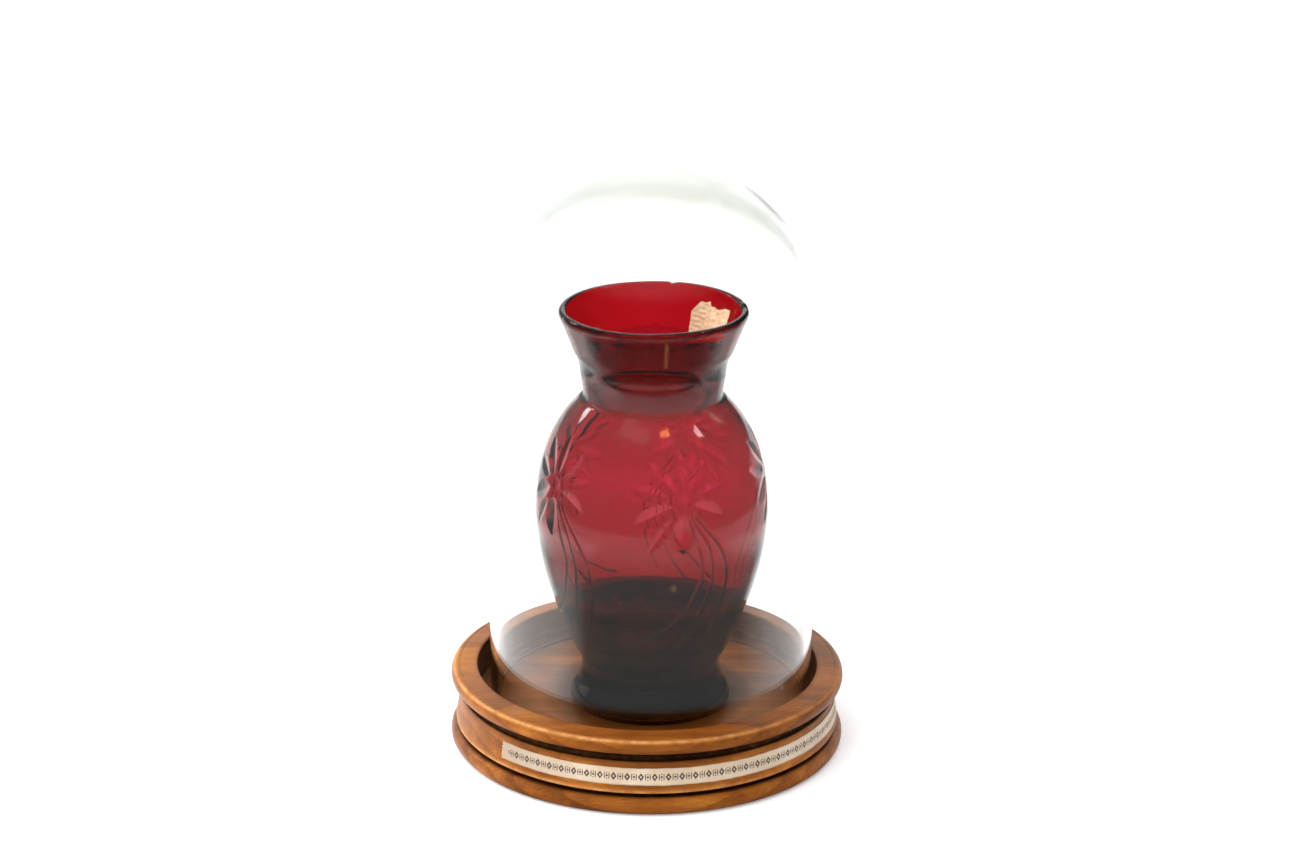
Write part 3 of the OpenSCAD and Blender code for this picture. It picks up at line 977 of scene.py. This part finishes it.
def world():
    """Soft light from all round, stronger overhead and from the upper left.

    The camera sees plain white, directly and through glass. Mirrored rays see the plan of a room:
    white beside, behind and overhead, dark in front, with a pale band at the upper left and two small
    bright lamps. Rays that went through 4 faces of glass, as from the vase, see the white behind
    only in part, and a warm lamp more.
    """
    w = bpy.data.worlds.new("studio")
    bpy.context.scene.world = w
    w.use_nodes = True
    n = Nodes(w.node_tree)
    out = n.add("ShaderNodeOutputWorld")
    path, glossy, deep = rays(n)
    way = n.add("ShaderNodeTexCoord").outputs["Generated"]
    x, y, z = n.split(way)
    az = heading(n, x, y)
    el = n.degrees("ARCSINE", z)
    off_front = n.size(az)

    def patch(a0, half_a, e0, half_e, soft):
        """A patch of 1 round an azimuth and an elevation in degrees, with a soft edge."""
        da = n.size(n.less(az, a0))
        de = n.size(n.less(el, e0))
        return n.product(n.span(da, half_a + soft, half_a), n.span(de, half_e + soft, half_e))

    def towards(direction, wide, narrow, level):
        """Light that grows from 0 at the angle wide to level at the angle narrow off a direction."""
        d = n.vector("DOT_PRODUCT", way, direction)
        return n.span(d, math.cos(math.radians(wide)), math.cos(math.radians(narrow)), 0.0, level)

    sides = n.most(n.span(az, -78.0, -98.0, 0.0, 1.1), n.span(az, 78.0, 98.0, 0.0, 0.75))
    behind = n.sum(n.span(off_front, 138.0, 158.0, 0.0, 1.2), n.span(el, 24.0, 44.0, 0.0, 0.35))
    room = n.product(n.most(sides, behind), n.rest_of(deep))
    strip = n.most(n.span(off_front, 158.0, 172.0, 0.05, 1.2), n.span(az, -104.0, -112.0, 0.0, 0.42))
    mirror = n.most(strip, room, towards((0.0, 0.5, 0.866), 32, 27, 1.2))
    for light, level in ((patch(-35, 26, 57, 4, 4), 0.7), (patch(-124, 3.0, 30, 5, 1.5), LAMP),
                         (patch(77, 3.0, 45, 3, 1.5), LAMP)):
        mirror = n.sum(mirror, n.product(light, level))
    warm = n.product(patch(24, 8.0, 59, 1.5, 2.0), deep)
    plan = n.mix(warm, n.grey(mirror), (14.0, 5.0, 1.2, 1))
    soft = n.sum(n.span(off_front, 30.0, 120.0, 0.84, 1.0), n.span(el, 20.0, 80.0, 0.0, 0.7))
    soft = n.product(soft, n.span(x, -0.1, 0.6, 1.0, 0.80))
    soft = n.sum(soft, towards((-0.78, -0.22, 0.58), 55, 20, 2.1))
    seen = n.most(path.outputs["Is Camera Ray"], path.outputs["Is Transmission Ray"])
    plain = n.mix(seen, n.grey(soft), (SEEN_WHITE, SEEN_WHITE, SEEN_WHITE, 1))
    sharp = n.most(path.outputs["Is Glossy Ray"], path.outputs["Is Transmission Ray"])
    colour = n.mix(n.product(glossy, sharp), plain, plan)
    back = n.add("ShaderNodeBackground", {"Color": colour, "Strength": 1.0})
    n.put(out.inputs["Surface"], back.outputs[0])


def camera():
    """Camera at the photograph's angle: a long lens a little above the bell's middle."""
    place = (0.000315, -1.18409, 0.53843)
    tilt_down, roll = 18.787, 0.538
    data = bpy.data.cameras.new("camera")
    data.lens = 83.08
    data.sensor_width = 36.0
    data.clip_start = 0.05
    data.clip_end = 200.0
    cam = bpy.data.objects.new("camera", data)
    bpy.context.scene.collection.objects.link(cam)
    turn = Matrix.Rotation(math.radians(90 - tilt_down), 4, "X")
    turn = turn @ Matrix.Rotation(math.radians(roll), 4, "Z")
    cam.matrix_world = Matrix.Translation(place) @ turn
    bpy.context.scene.camera = cam


# ---------------------------------------------------------------- the whole scene
finish_piece(base_foot(), wood("wood_foot", 0.012, -0.080, (0.31, 0.02, 0.0)),
             "base", "varnished_wood", "base_foot")
finish_piece(base_band(), wood("wood_band", -0.020, -0.105, (0.83, 0.0, 0.05)),
             "base", "varnished_wood", "base_band")
finish_piece(base_rim(), wood("wood_rim", 0.030, -0.070, (0.11, 0.04, 0.02), 0.12),
             "base", "varnished_wood", "base_rim")
finish_piece(label(), paper(), "base", "label_paper", "paper_label")
finish_piece(bell(), glass("bell_clear", CLEAR, tint=(0.35, 0.75, 0.45), density=3.0, smear=0.008,
                           smear_scale=30.0, shadow=(0.95, 0.95, 0.95)),
             "bell", "clear_glass", "glass_bell")
finish_piece(vase(), glass("ruby_red", RUBY, tint=(0.9015, 0.08, 0.60), density=2000.0, smear=0.005,
                           smear_scale=60.0, shadow=(0.72, 0.60, 0.58)),
             "vase", "ruby_glass", "vase")
finish_piece(tape_flap("tape_flap_left", 41, 59, LEFT_TOP, gap=0.9, lean=1.2, seed=3),
             tape("tape_dull", 0.40, 0.86), "vase", "old_tape", "tape_left")
finish_piece(tape_flap("tape_flap_right", 14, 45, RIGHT_TOP, gap=1.05, lean=0.7, seed=8),
             tape("tape_shiny", 0.16, 1.0), "vase", "old_tape", "tape_right")

floor()
world()
camera()
bpy.context.scene.view_settings.view_transform = "Standard"
